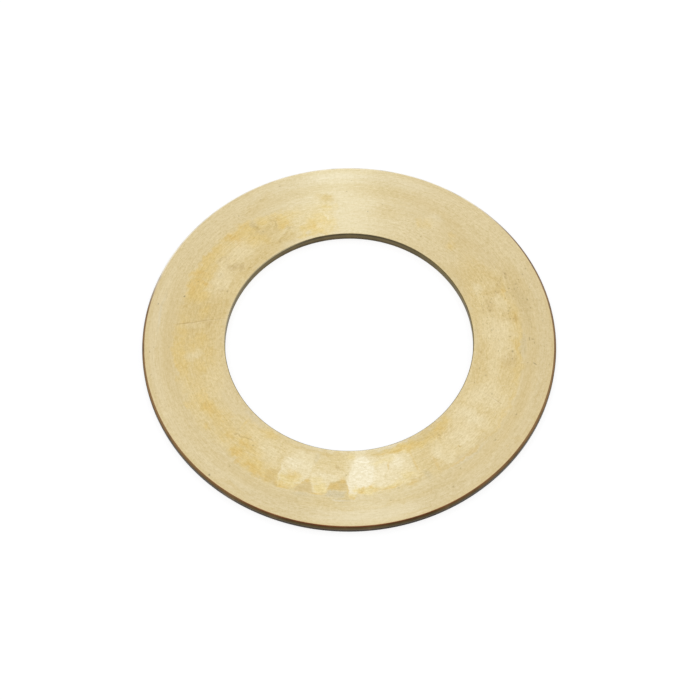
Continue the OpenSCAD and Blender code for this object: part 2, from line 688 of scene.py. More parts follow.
            (248.4, 0.722, 2.4, 0.03, 0.35), (270.6, 0.775, 1.6, 0.04, 0.8, 0.8),
            (274.4, 0.715, 3.8, 0.076, 1, 0.9), (288.4, 0.705, 2, 0.026, 0.4)),
    ), 0.85),
    Layer(Tone.STRAW, Spread.LOOSE, 0.6, ovals(0.5,
        (247.2, 0.842, 1.6, 0.016, 0.95), (248.8, 0.808, 3.4, 0.042, 0.9, 0.45),
        (258, 0.775, 2.4, 0.018, 0.55), (260, 0.818, 2.5, 0.028, 1), (270.2, 0.645, 1.4, 0.018, 0.5, 0.7),
        (270.8, 0.848, 1.2, 0.01, 0.85), (273.2, 0.811, 2.1, 0.019, 1, 0.6), (275.6, 0.812, 3, 0.022, 0.85),
        (282.6, 0.687, 4.2, 0.012, 0.6, 0.8), (283.5, 0.815, 3.8, 0.012, 0.7),
        (290.6, 0.788, 2.6, 0.022, 0.65, 0.6)
    )),
    Layer(Tone.AMBER, Spread.CRISP, 0.5, (
        Scratch((245.9, 0.859), (249.6, 0.851), 0.34, 0.6),
        Scratch((257.4, 0.85), (261.4, 0.846), 0.3, 0.6),
        Scratch((269.2, 0.846), (268.6, 0.79), 0.22, 0.5),
        Scratch((262, 0.838), (263.2, 0.796), 0.26, 0.4),
        Scratch((250.9, 0.842), (254.6, 0.792), 0.22, 0.4),
        Scratch((269.5, 0.853), (271.6, 0.858), 0.28, 0.6),
        Scratch((279.5, 0.828), (286.5, 0.824), 0.26, 0.55),
        Scratch((285.3, 0.686), (284.2, 0.738), 0.24, 0.5),
        Scratch((280.5, 0.641), (294.5, 0.662), 0.24, 0.5),
        Scratch((303.5, 0.848), (312.5, 0.85), 0.24, 0.4),
        Scratch((294.6, 0.8), (294.2, 0.67), 0.24, 0.4),
        Scratch((300.8, 0.842), (301.6, 0.75), 0.3, 0.3),
        *ovals(0.6,
            (230.4, 0.848, 0.7, 0.014, 0.55, 0.5), (247.8, 0.843, 2.4, 0.011, 0.55),
            (249.7, 0.782, 2, 0.022, 0.4, 0.8), (254.9, 0.792, 1, 0.012, 0.7),
            (264.6, 0.8, 1.8, 0.016, 0.5), (267, 0.766, 1.2, 0.016, 0.6), (273.2, 0.824, 0.8, 0.011, 0.75),
            (273.9, 0.8, 0.7, 0.009, 0.65), (276.7, 0.8, 0.5, 0.014, 0.6), (278, 0.822, 1.2, 0.007, 0.6),
            (290.6, 0.832, 1.6, 0.01, 0.45), (311.4, 0.785, 0.6, 0.008, 0.5),
            (313.4, 0.844, 2.8, 0.01, 0.35)),
    ), 0.75),
    Layer(Tone.BLUISH, Spread.CRISP, 0.3, (
        Splash(((261.9, 0.858), (267.4, 0.852), (268.4, 0.824), (262.2, 0.82)), 0.85, 0.5),
        *ovals(0.6,
            (12, 0.885, 7, 0.03, 0.25), (125.2, 0.822, 1.3, 0.022, 0.4), (254, 0.868, 2.6, 0.009, 0.5, 0.5),
            (255.9, 0.668, 0.9, 0.026, 0.45), (296.4, 0.826, 1.2, 0.024, 0.5, 0.5),
            (356.5, 0.852, 4.6, 0.012, 0.5)),
    )),
    Layer(Tone.COOL, Spread.CRISP, 0.3, ovals(0.7,
        (57, 0.828, 2.4, 0.014, 0.15), (107.8, 0.648, 1.2, 0.012, 0.4, 0.6),
        (149.5, 0.738, 1.4, 0.016, 0.2), (170, 0.944, 6, 0.006, 0.4, 0.6),
        (222, 0.631, 4.6, 0.012, 0.4, 0.8), (267, 0.866, 2.6, 0.006, 0.5, 0.5),
        (291, 0.62, 9, 0.006, 0.45, 0.5), (312.6, 0.863, 5.4, 0.006, 0.3)
    )),
    Layer(Tone.SMUDGE, Spread.LOOSE, 0.7, ovals(0.6,
        (7.5, 0.823, 1.4, 0.013, 0.55), (12.8, 0.709, 1.6, 0.007, 0.4), (14, 0.677, 1.6, 0.006, 0.4),
        (14.6, 0.718, 2.6, 0.016, 0.3, 0.7), (19.6, 0.78, 0.5, 0.02, 0.45), (22.8, 0.8, 1.6, 0.005, 0.5),
        (24.2, 0.852, 1.2, 0.006, 0.4, 0.5), (113.8, 0.708, 1.4, 0.012, 0.35),
        (117.4, 0.684, 2, 0.004, 0.45), (118.2, 0.652, 1.4, 0.004, 0.45),
        (119, 0.765, 0.4, 0.03, 0.5, 0.6, -12), (121.2, 0.66, 0.6, 0.016, 0.55),
        (125.2, 0.8, 0.4, 0.026, 0.3), (141, 0.674, 1.7, 0.01, 0.6), (141.6, 0.758, 2, 0.004, 0.4),
        (142.8, 0.777, 1.8, 0.004, 0.5), (143, 0.664, 1, 0.005, 0.5), (143.4, 0.702, 2, 0.018, 0.5),
        (144.6, 0.728, 0.5, 0.014, 0.35), (155.4, 0.692, 1.2, 0.016, 0.35), (171.6, 0.69, 1.6, 0.018, 0.3),
        (221.8, 0.722, 0.5, 0.012, 0.45), (265.8, 0.705, 0.9, 0.008, 0.4), (303.6, 0.655, 0.5, 0.014, 0.35),
        (305.9, 0.656, 0.5, 0.012, 0.5), (307.2, 0.688, 0.35, 0.014, 0.6), (308.6, 0.674, 0.5, 0.018, 0.65),
        (350.8, 0.785, 2, 0.03, 0.25), (352, 0.64, 2, 0.008, 0.3)
    ), 0.6),
    Layer(Tone.SPECK, Spread.STILL, 0.0, ovals(0.6,
        (3.4, 0.7, 0.44, 0.0034, 0.35), (6.6, 0.682, 0.24, 0.003, 0.4), (7.6, 0.8, 0.32, 0.0034, 0.5),
        (10.8, 0.8, 0.26, 0.004, 0.5), (11.8, 0.811, 0.3, 0.0034, 0.45), (12.3, 0.711, 0.22, 0.005, 0.4),
        (13.5, 0.907, 0.36, 0.0034, 0.5), (14.4, 0.713, 0.3, 0.003, 0.45),
        (15.8, 0.727, 0.24, 0.0034, 0.45), (15.9, 0.806, 0.26, 0.0034, 0.45),
        (16, 0.846, 0.28, 0.0028, 0.4), (17.2, 0.737, 0.26, 0.0034, 0.45), (18.2, 0.825, 0.24, 0.005, 0.45),
        (18.4, 0.866, 0.26, 0.0034, 0.45), (19.2, 0.842, 0.24, 0.006, 0.45),
        (19.9, 0.773, 0.22, 0.004, 0.5), (20.1, 0.882, 0.26, 0.0046, 0.5), (21.2, 0.905, 0.3, 0.0024, 0.45),
        (22.4, 0.937, 0.26, 0.004, 0.45), (23.6, 0.849, 0.6, 0.0028, 0.4), (23.9, 0.964, 0.3, 0.0034, 0.45),
        (25, 0.857, 0.34, 0.0044, 0.5), (58, 0.69, 0.3, 0.0038, 0.35), (77.2, 0.8, 0.26, 0.0028, 0.35),
        (88.7, 0.926, 0.22, 0.0036, 0.3), (90.2, 0.862, 0.24, 0.0032, 0.45),
        (110.9, 0.961, 0.3, 0.004, 0.35), (118.4, 0.929, 0.28, 0.0034, 0.4),
        (124.2, 0.758, 0.28, 0.0032, 0.45), (127.3, 0.908, 0.22, 0.0034, 0.5),
        (139.7, 0.641, 0.38, 0.0035, 0.5), (155, 0.661, 0.6, 0.0032, 0.5),
        (155.6, 0.818, 0.24, 0.0032, 0.5), (157.4, 0.852, 0.9, 0.0022, 0.3),
        (182, 0.955, 0.22, 0.0024, 0.4), (182.2, 0.879, 0.3, 0.0024, 0.4),
        (183.4, 0.975, 0.36, 0.0024, 0.45, 0.6, 30), (188, 0.628, 0.7, 0.0024, 0.35),
        (191, 0.98, 0.3, 0.0024, 0.35, 0.6, 40), (197, 0.978, 0.22, 0.0024, 0.4),
        (230, 0.89, 0.2, 0.0032, 0.4), (231.1, 0.738, 0.26, 0.0044, 0.6), (267.5, 0.88, 0.22, 0.0024, 0.35),
        (268.4, 0.738, 0.3, 0.003, 0.45), (282.2, 0.891, 0.28, 0.0024, 0.4, 0.6, 40),
        (285.6, 0.838, 0.42, 0.0026, 0.5, 0.6, 15), (301, 0.938, 0.3, 0.0034, 0.4),
        (306.3, 0.879, 0.2, 0.0032, 0.4), (311.3, 0.787, 0.28, 0.0034, 0.45),
        (332, 0.903, 0.34, 0.0032, 0.5), (335.6, 0.754, 0.26, 0.0034, 0.45),
        (337.6, 0.652, 0.36, 0.0032, 0.45), (342.4, 0.691, 0.34, 0.0032, 0.45),
        (344.8, 0.652, 0.5, 0.0032, 0.4), (350.7, 0.878, 0.24, 0.0032, 0.4),
        (350.9, 0.98, 0.24, 0.0024, 0.4), (351.4, 0.801, 0.38, 0.0032, 0.45),
        (354, 0.837, 0.55, 0.0028, 0.4), (354.3, 0.799, 0.5, 0.0044, 0.55, 0.5),
        (355.3, 0.778, 0.26, 0.0032, 0.4), (358, 0.905, 0.6, 0.0022, 0.4, 0.6, -25),
        (359.2, 0.899, 0.22, 0.0052, 0.45), (359.4, 0.881, 0.6, 0.0028, 0.55)
    ), 0.62),
    Layer(Tone.INK, Spread.STILL, 0.0, (
        Scratch((351, 0.903), (350.3, 0.922), 0.13, 0.45),
        *ovals(0.6,
            (82.2, 0.746, 0.24, 0.0036, 0.45), (162.7, 0.85, 0.34, 0.004, 0.65, 0.5),
            (167.2, 0.963, 0.28, 0.003, 0.5), (227.4, 0.986, 0.26, 0.0044, 0.6),
            (321, 0.89, 0.44, 0.0036, 0.25)),
    ), 0.75),
)

SCRATCHES = (
    Scratch((174, 0.846), (172.6, 0.77), 0.14, 0.45), Scratch((172.7, 0.775), (170.5, 0.69), 0.13, 0.4),
    Scratch((170.6, 0.695), (168.9, 0.615), 0.13, 0.45), Scratch((333, 0.812), (334.2, 0.745), 0.18, 0.75),
    Scratch((334.1, 0.75), (335.2, 0.68), 0.18, 0.75), Scratch((337.8, 0.822), (335, 0.8), 0.18, 0.45),
    Scratch((330.5, 0.824), (328.4, 0.812), 0.18, 0.4), Scratch((330, 0.79), (332.6, 0.77), 0.18, 0.4),
    Scratch((340.8, 0.812), (339.6, 0.764), 0.18, 0.45), Scratch((342.5, 0.77), (344.5, 0.735), 0.18, 0.35),
    Scratch((312.9, 0.77), (313.9, 0.752), 0.14, 0.3), Scratch((306, 0.7), (307.5, 0.672), 0.16, 0.45),
    Scratch((291.5, 0.812), (293, 0.824), 0.18, 0.45),
)

SCRATCH_SHADES = (
    Scratch((173.5, 0.848), (172.2, 0.77), 0.16, 0.6), Scratch((172.3, 0.774), (170.1, 0.69), 0.15, 0.5),
    Scratch((170.2, 0.695), (168.5, 0.62), 0.14, 0.4), Scratch((333.3, 0.816), (334.1, 0.762), 0.14, 0.5),
    Scratch((334.1, 0.764), (334.8, 0.715), 0.13, 0.3), Scratch((222.7, 0.756), (223.8, 0.74), 0.17, 0.6),
    Scratch((223.8, 0.739), (225.2, 0.743), 0.13, 0.65),
    Scratch((225.2, 0.743), (226.4, 0.731), 0.13, 0.65), Scratch((226.4, 0.731), (229.7, 0.717), 0.15, 0.6),
)


# Finishes

# Turn of the stretched highlights that lays them across marks that run round the ring
ROUND_THE_RING = 0.25


@dataclass(frozen=True)
class Look:
    """What changes over a metal surface: its colour, its roughness and its relief."""

    colour: Signal
    roughness: Feed
    height: Signal


class MetalFinish:
    """A finish of bare metal.

    relief is the depth of its relief in millimetres, and anisotropy how far its highlights stretch.
    """

    name: str
    relief: float
    anisotropy: float

    def look(self, bench: Bench) -> Look:
        """What changes over the surface."""
        raise NotImplementedError

    def make(self) -> bpy.types.Material:
        """Builds the material.

        Returns:
            The material.
        """
        material = bpy.data.materials.new(self.name)
        material.use_nodes = True
        bench = Bench(material.node_tree)
        look = self.look(bench)
        relief = {"Strength": 1.0, "Distance": self.relief * MM, "Height": look.height}
        inputs = {
            "Base Color": look.colour,
            "Roughness": look.roughness,
            "Normal": bench.node("ShaderNodeBump", inputs=relief),
            "Metallic": 1.0,
            "Anisotropic": self.anisotropy,
            "Anisotropic Rotation": ROUND_THE_RING,
        }
        shader = material.node_tree.nodes["Principled BSDF"]
        for name, value in inputs.items():
            bench.plug(shader.inputs[name], value)
        return material


@dataclass(frozen=True)
class Shade:
    """A tone laid on where a value passes from start to full, at most as strongly as amount."""

    tone: Tone
    start: float
    full: float
    amount: float

    def over(self, value: Signal, colour: Any) -> Signal:
        """Lays the tone over a colour."""
        return value.bench.mix(value.step(self.start, self.full) * self.amount, colour, self.tone.rgba)


@dataclass(frozen=True)
class Band:
    """A band that runs round the face.

    inner and outer are the shares of the radius over which it comes in and goes out. Without outer
    it runs to the edge. amount is how strongly it shows.
    """

    amount: float
    inner: tuple[float, float]
    outer: tuple[float, float] | None = None

    def mask(self, share: Signal) -> Signal:
        """How strongly the band shows.

        Args:
            share: the radius as a share of the face's.

        Returns:
            0 beside the band and amount on it.
        """
        inside = share.step(*self.inner)
        if self.outer:
            inside = inside.both(share.step(*self.outer))
        return inside * self.amount


@dataclass(frozen=True)
class Marks:
    """Noise drawn out along the turning.

    to_radian is how many marks there are to a radian of turn, to_mm how many to a millimetre of
    radius, detail how many finer layers they have and rough how strong those are.
    """

    to_radian: float
    to_mm: float
    detail: float = 2.0
    rough: float = 0.6

    def on(self, plan: FacePlan) -> Signal:
        """Adds the marks to a face."""
        drawn = plan.bench.vector("MULTIPLY", plan.around, (self.to_radian, self.to_radian, self.to_mm))
        return plan.bench.cloud(drawn, 1.0, self.detail, self.rough)


@dataclass(frozen=True)
class Specks:
    """Fine dark specks scattered over the face, more and stronger where they crowd.

    to_mm is how many may lie along a millimetre. A place for a speck has a chance from 0 to 1 and
    holds one if that is above rarity, which crowding lowers. A speck that is above it by full_excess
    has a radius of biggest millimetres.
    """

    to_mm: float
    biggest: float
    strength: float
    rarity: float = 0.72
    crowding: float = 0.22
    full_excess: float = 0.38
    fade: tuple[float, float] = (-0.05, 0.09)
    strength_alone: float = 0.45

    def over(self, plan: FacePlan, crowd: Signal, colour: Signal) -> Signal:
        """Scatters the specks over a colour.

        Args:
            plan: the plan of the face.
            crowd: how much they crowd.
            colour: the colour under them.

        Returns:
            The speckled colour.
        """
        bench = plan.bench
        cells = {
            "settings": {"feature": "F1", "voronoi_dimensions": "2D"},
            "inputs": {"Vector": plan.flat, "Scale": self.to_mm},
        }
        away = bench.node("ShaderNodeTexVoronoi", output="Distance", **cells) / self.to_mm
        chance = bench.node("ShaderNodeTexVoronoi", output="Color", **cells)
        chance = bench.node("ShaderNodeSeparateXYZ", inputs={0: chance}, output="X")
        size = (chance - self.rarity + self.crowding * crowd) * (self.biggest / self.full_excess)
        dot = (size - away).step(*self.fade)
        strength = self.strength * (self.strength_alone + (1 - self.strength_alone) * crowd)
        return bench.mix(dot * strength, colour, Tone.SPECK.rgba)


# Bands and marks of the clean metal, then the grooves of its relief

DARK_BAND = Band(0.75, (0.855, 0.880), (0.925, 0.900))
DARK_EDGE = Band(0.45, (0.975, 0.995))
PALE_BAND = Band(0.60, (0.915, 0.945), (0.985, 0.965))
BAND_WANDER = Marks(1.6, 0.10)
BROAD_MARKS = Marks(3.0, 0.9, 3.0)
BROAD_SHADE = Shade(Tone.RING_DARK, 0.46, 0.66, 0.45)
FINE_MARKS = Marks(9.0, 3.2)
FINE_SHADES = (Shade(Tone.RING_PALE, 0.54, 0.72, 0.40), Shade(Tone.TAN, 0.44, 0.28, 0.35))
BRUSH_MARKS = Marks(30.0, 3.2, 4.0)
HAIR_MARKS = Marks(5.0, 3.9, 1.0)
GROOVES = Marks(2.5, 2.3, 3.0)
FINE_GROOVES = Marks(6.0, 6.5)

# Streaks that break the stains up, and the specks that lie on them

STAIN_STREAKS = Marks(20.0, 2.2, 4.0)
CROWD = Patch(12, 0.79, 24, 0.24, 1.0, 0.5)
SPECKS = (Specks(0.36, 0.15, 0.34), Specks(0.80, 0.11, 0.28))


@dataclass(frozen=True)
class TurnedFinish(MetalFinish):
    """A face cut on the lathe: pale bronze with circular marks, and the stains given to it.

    scratches are its bright lines and shadows the dark ones. band_wander is how far its bands wander
    as a share of the radius, and stain_wander_mm how far the outlines of loose stains do. grain_tint
    is how far the grain moves red, green and blue, clean_grain how strong it is on clean metal and
    stain_grain how much stronger on stains. Each share is that of one pattern in a sum of several.
    """

    name: str
    layers: tuple[Layer, ...] = ()
    scratches: tuple[Scratch, ...] = ()
    shadows: tuple[Scratch, ...] = ()
    relief: float = 0.012
    anisotropy: float = 0.87
    roughness: float = 0.37
    stain_roughness: float = 0.07
    band_wander: float = 0.03
    grain_tint: tuple[float, float, float] = (0.48, 0.60, 1.02)
    brush_share: float = 0.50
    hair_share: float = 0.26
    clean_grain: float = 0.94
    stain_grain: float = 0.62
    stain_wander_mm: float = 5.5
    streak_share: float = 0.45
    mottle_gain: float = 6.4
    groove_share: float = 0.55
    fine_groove_share: float = 0.30
    pit_share: float = 0.15
    scratch_strength: float = 0.50
    shadow_strength: float = 0.70
    scratch_depth: float = 0.50

    def metal(self, plan: FacePlan) -> Signal:
        """The clean metal with its bands and marks.

        Args:
            plan: the plan of the face.

        Returns:
            The colour.
        """
        wander = BAND_WANDER.on(plan) - MIDDLE
        share = plan.radius / FACE_RADIUS + wander * self.band_wander
        darker = DARK_BAND.mask(share).either(DARK_EDGE.mask(share))
        colour = plan.bench.mix(darker, Tone.CLEAN.rgba, Tone.RING_DARK.rgba)
        colour = plan.bench.mix(PALE_BAND.mask(share), colour, Tone.RING_PALE.rgba)
        colour = BROAD_SHADE.over(BROAD_MARKS.on(plan), colour)
        fine = FINE_MARKS.on(plan)
        for shade in FINE_SHADES:
            colour = shade.over(fine, colour)
        return colour

    def stained(self, plan: FacePlan, colour: Signal) -> tuple[Signal, Feed]:
        """Lays the stains over the metal.

        Args:
            plan: the plan of the face.
            colour: the colour under the stains.

        Returns:
            The stained colour, and how much stain lies on the face.
        """
        bench = plan.bench
        drift = bench.cloud(plan.flat, scale=0.24, detail=6.0, rough=0.68, output=1)
        drift = bench.vector("SUBTRACT", drift, (MIDDLE, MIDDLE, MIDDLE))
        breakup = bench.cloud(plan.flat, scale=0.95, detail=5.0, rough=0.85) * (1 - self.streak_share)
        mottle = breakup + STAIN_STREAKS.on(plan) * self.streak_share - MIDDLE
        strips = {}
        for spread in Spread:
            reach = self.stain_wander_mm * spread.value
            strips[spread] = bench.vector("MULTIPLY_ADD", drift, (reach, reach, reach), plan.strip)
        cover: Feed = 0.0
        for layer in self.layers:
            mask = laid_together(strips[layer.spread], layer.stains)
            if layer.mottle:
                mask = mask * (1 + mottle * (layer.mottle * self.mottle_gain))
                mask = mask.either(0.0).both(1.0)
            mask = mask * layer.level
            colour = bench.mix(mask, colour, layer.tone.rgba)
            cover = mask.either(cover)
        return colour, cover

    def grit(self, plan: FacePlan, colour: Signal, cover: Feed) -> Signal:
        """Makes the colour lighter and darker in the finest grain, stronger on the stains.

        Args:
            plan: the plan of the face.
            colour: the colour under the grain.
            cover: how much stain lies on the face.

        Returns:
            The grained colour.
        """
        bench = plan.bench
        grain = bench.cloud(plan.flat, scale=1.4, detail=4.0, rough=1.0) - MIDDLE
        grain = grain + (BRUSH_MARKS.on(plan) - MIDDLE) * self.brush_share
        hair = (HAIR_MARKS.on(plan) - MIDDLE) * self.hair_share
        level = grain * (self.clean_grain + cover * self.stain_grain) + hair
        tint = bench.vector("MULTIPLY_ADD", level, self.grain_tint, (1.0, 1.0, 1.0))
        return bench.vector("MULTIPLY", colour, tint)

    def look(self, bench: Bench) -> Look:
        """What changes over the face.

        Args:
            bench: the bench that adds the nodes.

        Returns:
            The look.
        """
        plan = FacePlan.drawn(bench)
        colour = self.metal(plan)
        cover: Feed = 0.0
        if self.layers:
            colour, cover = self.stained(plan, colour)
        colour = self.grit(plan, colour, cover)
        if self.layers:
            crowd = CROWD.over(plan.strip)
            for specks in SPECKS:
                colour = specks.over(plan, crowd, colour)
        pits = bench.cloud(plan.flat, scale=3.5, detail=3.0, rough=0.6) * self.pit_share
        height = GROOVES.on(plan) * self.groove_share + FINE_GROOVES.on(plan) * self.fine_groove_share
        height = height + pits
        if self.scratches:
            dark = laid_together(plan.strip, self.shadows) * self.shadow_strength
            cut = laid_together(plan.strip, self.scratches)
            colour = bench.mix(dark, colour, Tone.SMUDGE.rgba)
            colour = bench.mix(cut * self.scratch_strength, colour, Tone.PALE.rgba)
            height = height - cut * self.scratch_depth
        return Look(colour, self.roughness + cover * self.stain_roughness, height)


@dataclass(frozen=True)
class ShadedWallFinish(MetalFinish):
    """The rim or the bore with its broken edge, toned in bands by depth as painted shade.

    bands are the tones with the depths, in millimetres under the upper face, over which each comes
    in. The first tone starts at the face. side and side_foot_shade are the tones of the ring's left
    and right: near the edge a painted sheen, lower down a painted shade. glint is a painted highlight
    on a stretch of the edge: glint_way is the way to its middle, glint_ends are how near that way it
    starts and is whole, and glint_depths are the depths over which it comes in from below.
    """

    name: str
    bands: tuple[tuple[float, float, Tone], ...]
    side: Tone
    side_foot_shade: Tone
    glint: Tone
    glint_way: tuple[float, float]
    glint_ends: tuple[float, float]
    glint_depths: tuple[float, float]
    relief: float = 0.01
    anisotropy: float = 0.0
    roughness: float = 0.42
    mark_roughness: float = 0.10
    marks_round: float = 0.30
    marks_high: float = 5.0
    band_wander: float = 0.12
    side_ends: tuple[float, float] = (0.30, 0.95)
    side_depths: tuple[float, float] = (0.30, 0.75)
    side_share: float = 0.80

    def look(self, bench: Bench) -> Look:
        """What changes over the wall.

        Args:
            bench: the bench that adds the nodes.

        Returns:
            The look.
        """
        point = bench.node("ShaderNodeTexCoord", output="Object")
        flat = bench.vector("MULTIPLY", point, TO_FLAT_MM)
        round_mm, high_mm = self.marks_round / MM, self.marks_high / MM
        drawn = bench.vector("MULTIPLY", point, (round_mm, round_mm, high_mm))
        marks = bench.cloud(drawn, scale=1.0, detail=4.0, rough=0.6)
        height = bench.along(point, (0.0, 0.0, 1 / MM))
        depth = THICKNESS - height + (marks - MIDDLE) * self.band_wander
        # Painted shade: the break and the wall darken in bands from the face down to the foot.
        colour: Any = self.bands[0][2].rgba
        for start, end, tone in self.bands[1:]:
            colour = bench.mix(depth.step(start, end), colour, tone.rgba)
        heading = bench.vector("NORMALIZE", flat)
        # Painted sheen and shade: the ring's left and right are lighter near the edge and darker lower
        # down.
        aside = abs(bench.along(heading, (1.0, 0.0, 0.0))).step(*self.side_ends) * self.side_share
        side = bench.mix(depth.step(*self.side_depths), self.side.rgba, self.side_foot_shade.rgba)
        colour = bench.mix(aside, colour, side)
        # Painted highlight: the glint tone laid along one stretch of the edge.
        near = bench.along(heading, (*self.glint_way, 0.0)).step(*self.glint_ends)
        colour = bench.mix(near * depth.step(*self.glint_depths), colour, self.glint.rgba)
        blotches = bench.cloud(flat, scale=0.16, detail=5.0, rough=0.65)
        colour = Shade(self.side, 0.50, 0.72, 0.30).over(blotches, colour)
        colour = Shade(Tone.RIM_FOOT_SHADE, 0.50, 0.30, 0.35).over(blotches, colour)
        colour = Shade(Tone.RIM_FOOT_SHADE, 0.52, 0.75, 0.25).over(marks, colour)
        return Look(colour, self.roughness + marks * self.mark_roughness, marks)


class Zone(Enum):
    """The turned surfaces of the ring. The value is the place of each one's finish on the mesh."""

    UPPER_FACE = 0
    LOWER_FACE = 1
    RIM = 2
    BORE = 3


# Painted shade down the rim and the bore: each tone comes in over its depths under the face.
RIM_BANDS = (
    (0.00, 0.00, Tone.RIM_CREST),
    (0.03, 0.12, Tone.RIM_BAND),
    (0.18, 0.27, Tone.RIM_LINE),
    (0.30, 0.40, Tone.RIM_WALL),
    (0.80, 1.20, Tone.RIM_FOOT_SHADE),
)

BORE_BANDS = (
    (0.00, 0.00, Tone.BORE_CREST),
    (0.04, 0.18, Tone.BORE_LINE),
    (0.45, 0.80, Tone.BORE_BAND),
    (1.20, 1.75, Tone.BORE_WALL),
    (2.00, 2.40, Tone.BORE_FOOT_SHADE),
)

FINISHES = {
    Zone.UPPER_FACE: TurnedFinish("upper_face", TARNISH, SCRATCHES, SCRATCH_SHADES),
    Zone.LOWER_FACE: TurnedFinish("lower_face"),
    Zone.RIM: ShadedWallFinish(
        "rim", RIM_BANDS, Tone.RIM_SIDE_SHEEN, Tone.RIM_FLANK_SHADE, Tone.RIM_GLINT,
        glint_way=(-0.2, 0.98), glint_ends=(0.35, 0.65), glint_depths=(0.70, 0.50)
    ),
    Zone.BORE: ShadedWallFinish(
        "bore", BORE_BANDS, Tone.BORE_SIDE_SHEEN, Tone.BORE_FLANK_SHADE, Tone.BORE_GLINT,
        glint_way=(-0.87, 0.50), glint_ends=(0.70, 0.92), glint_depths=(0.32, 0.12)
    ),
}


# The ring

@dataclass(frozen=True)
class Corner:
    """A corner of the ring's section, in millimetres, with the zones of its round and the next side."""

    radius: float
    height: float
    round_zone: Zone
    side_zone: Zone
    side_steps: int


